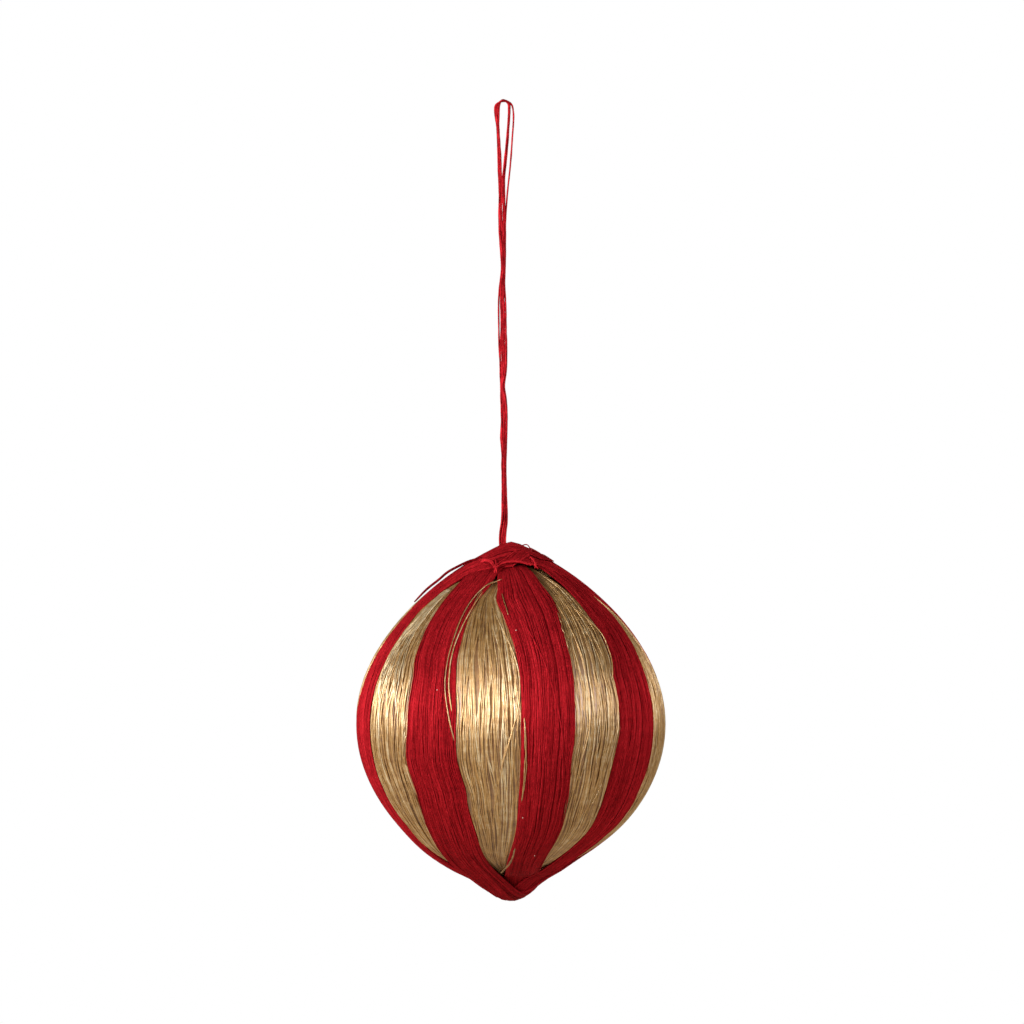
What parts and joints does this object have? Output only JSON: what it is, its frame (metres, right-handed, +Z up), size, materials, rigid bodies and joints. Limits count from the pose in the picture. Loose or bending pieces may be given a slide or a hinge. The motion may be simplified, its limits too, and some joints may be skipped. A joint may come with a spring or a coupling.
{
  "type": "string-wrapped ball ornament",
  "caption": "Pointed ball ornament wound pole to pole with bands of red and gold thread, hanging from a long thin thread loop.",
  "frame": {"origin": "inside top of the hanging loop, where a hook or twig holds it", "axes": "+Z up along the loop and the ball's axis, -Y towards the viewer, +X to the viewer's right"},
  "size_m": [0.1, 0.1, 0.2592],
  "materials": {
    "red_thread": "fine satin thread",
    "gold_thread": "metallic thread with a soft gold glitter"
  },
  "bodies": {
    "root": {"red_band_1": "red_thread", "red_band_2": "red_thread", "red_band_3": "red_thread", "red_band_4": "red_thread", "red_band_5": "red_thread", "red_band_6": "red_thread", "red_band_7": "red_thread", "red_band_8": "red_thread", "gold_band_1": "gold_thread", "gold_band_2": "gold_thread", "gold_band_3": "gold_thread", "gold_band_4": "gold_thread", "gold_band_5": "gold_thread", "gold_band_6": "gold_thread", "gold_band_7": "gold_thread", "gold_band_8": "gold_thread", "loop_strand_1": "red_thread", "loop_strand_2": "red_thread", "loop_strand_3": "red_thread", "loop_strand_4": "red_thread"}
  },
  "joints": []
}
